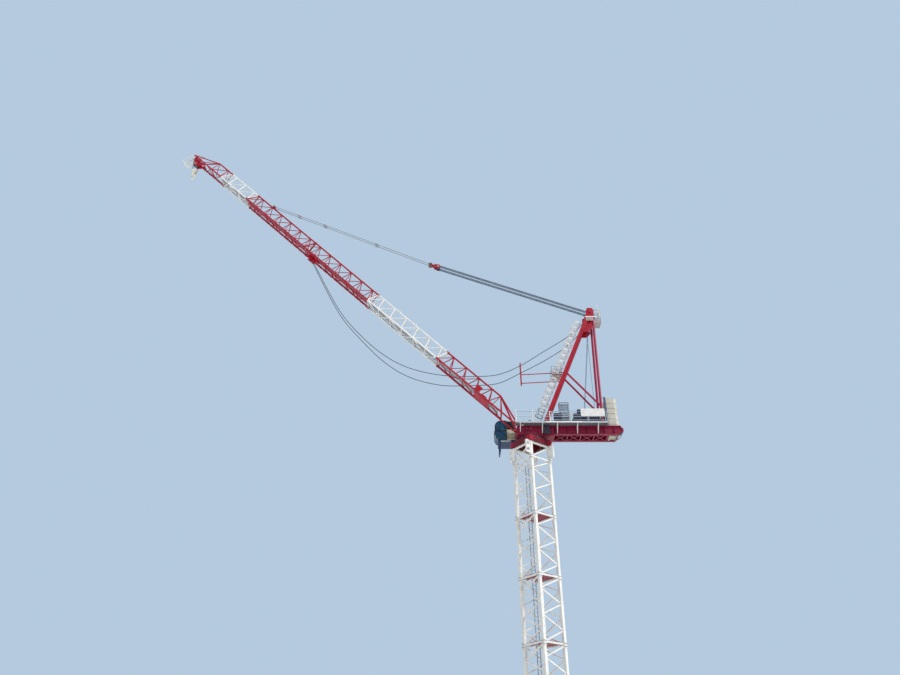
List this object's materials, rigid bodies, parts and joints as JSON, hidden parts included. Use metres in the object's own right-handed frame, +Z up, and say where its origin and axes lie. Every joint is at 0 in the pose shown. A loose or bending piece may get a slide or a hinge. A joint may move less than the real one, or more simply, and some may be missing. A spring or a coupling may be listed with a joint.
{
  "type": "luffing-jib tower crane, 1:10 scale model",
  "caption": "Luffing-jib tower crane on a white lattice mast, with red jib, A-frame, counter-jib with ballast, cab, pendants and hook.",
  "frame": {"origin": "underside of the base cross on the mast axis", "axes": "+Z up the mast, +X towards the jib, +Y away from the cab"},
  "size_m": [4.6786, 0.6238, 6.5039],
  "materials": {
    "mast_white": "satin off-white paint, faded",
    "jib_white": "satin white paint",
    "red_paint": "semi-gloss signal red paint",
    "maroon_paint": "semi-gloss wine red paint",
    "grey_steel": "galvanised, dull",
    "navy_paint": "gloss dark blue paint",
    "sign_white": "bare white sheet",
    "ballast_concrete": "cast concrete, cream",
    "cab_cream": "satin cream paint",
    "cab_glass": "tinted glass",
    "sheave_steel": "dark, worn bright in the groove",
    "wire_rope": "greased wire rope",
    "hook_yellow": "satin yellow paint"
  },
  "bodies": {
    "mast": {"base_cross": "mast_white", "mast_section_1": "mast_white", "mast_section_2": "mast_white", "mast_section_3": "mast_white", "mast_section_4": "mast_white", "mast_section_5": "mast_white", "mast_ladder": "grey_steel", "mast_landings": "maroon_paint", "mast_head": "mast_white", "slewing_seat": "red_paint", "slewing_gear_ring": "sheave_steel"},
    "slewing_part": {"slewing_platform": "maroon_paint", "slewing_drives": "maroon_paint", "counter_jib": "maroon_paint", "centre_deck": "grey_steel", "side_walkways": "grey_steel", "railings": "mast_white", "a_frame_front_legs": "red_paint", "a_frame_rear_struts": "red_paint", "a_frame_head": "red_paint", "head_platform": "grey_steel", "caged_ladder": "grey_steel", "rope_guide_arm": "red_paint", "winch_frames": "navy_paint", "pump_motor": "navy_paint", "mesh_cabinet": "grey_steel", "sign_board": "sign_white", "ballast_frame": "grey_steel", "ballast_blocks": "ballast_concrete", "cab_base": "navy_paint", "cab_body": "cab_cream", "cab_glass": "cab_glass", "slack_rope_upper": "wire_rope", "slack_rope_lower": "wire_rope"},
    "hoist_drum": {"hoist_winch_drum": "sheave_steel"},
    "luffing_drum": {"luffing_winch_drum": "sheave_steel"},
    "jib": {"jib_foot": "red_paint", "jib_section_2": "jib_white", "jib_section_3": "red_paint", "jib_section_4": "red_paint", "jib_section_5": "jib_white", "jib_tip": "red_paint", "jib_walkway": "grey_steel", "jib_sheave_inner": "red_paint", "jib_sheave_outer": "red_paint", "jib_head": "red_paint", "tip_platform": "jib_white"},
    "pendant_bars": {"pendants": "grey_steel"},
    "head_tackle": {"head_sheaves": "sheave_steel", "luffing_falls": "wire_rope"},
    "block": {"floating_block": "red_paint", "block_sheaves": "sheave_steel"},
    "hoist_tackle": {"tip_sheaves": "sheave_steel", "hoist_falls": "wire_rope"},
    "hook_body": {"hook_block": "hook_yellow"},
    "hook_part": {"hook": "sheave_steel"}
  },
  "joints": [
    {"name": "slew", "type": "hinge", "parent": "mast", "child": "slewing_part", "pos_m": [0, 0, 2.854], "axis": [0, 0, 1], "continuous": true},
    {"name": "jib_luff", "type": "hinge", "parent": "slewing_part", "child": "jib", "pos_m": [0.104, 0, 2.965], "axis": [0, -1, 0], "range_deg": [-29.2, 40.8], "deforming": ["slack_rope_upper", "slack_rope_lower"]},
    {"name": "pendant_swing", "type": "hinge", "parent": "jib", "child": "pendant_bars", "pos_m": [2.68957, 0, 5.70951], "axis": [0, -1, 0], "range_deg": [-5.6, 7.8]},
    {"name": "tackle_swing", "type": "hinge", "parent": "slewing_part", "child": "head_tackle", "pos_m": [-0.67, 0, 4.245], "axis": [0, -1, 0], "range_deg": [-14.4, 20.1]},
    {"name": "tackle_haul", "type": "slide", "parent": "head_tackle", "child": "block", "axis": [-0.9848, 0, -0.1738], "range_m": [-0.75, 1.05], "deforming": ["luffing_falls"]},
    {"name": "hook_plumb", "type": "hinge", "parent": "jib", "child": "hoist_tackle", "pos_m": [3.6975, 0, 6.38281], "axis": [0, -1, 0], "range_deg": [-41, 29.4]},
    {"name": "hook_hoist", "type": "slide", "parent": "hoist_tackle", "child": "hook_body", "axis": [0, 0, 1], "range_m": [-3.8, 0], "deforming": ["hoist_falls"]},
    {"name": "hook_swivel", "type": "hinge", "parent": "hook_body", "child": "hook_part", "pos_m": [3.6975, 0, 6.21781], "axis": [0, 0, 1], "continuous": true},
    {"name": "hoist_drum_turn", "type": "hinge", "parent": "slewing_part", "child": "hoist_drum", "pos_m": [-0.468, 0, 3.023], "axis": [0, 1, 0], "continuous": true},
    {"name": "luffing_drum_turn", "type": "hinge", "parent": "slewing_part", "child": "luffing_drum", "pos_m": [-0.634, 0, 3.023], "axis": [0, 1, 0], "continuous": true}
  ],
  "couplings": [
    {"joint": "pendant_swing", "follows": "jib_luff", "ratio": 0.18408},
    {"joint": "tackle_swing", "follows": "jib_luff", "ratio": 0.48623},
    {"joint": "tackle_haul", "follows": "jib_luff", "m_per_rad": 1.4644},
    {"joint": "hook_plumb", "follows": "jib_luff", "ratio": -1}
  ]
}
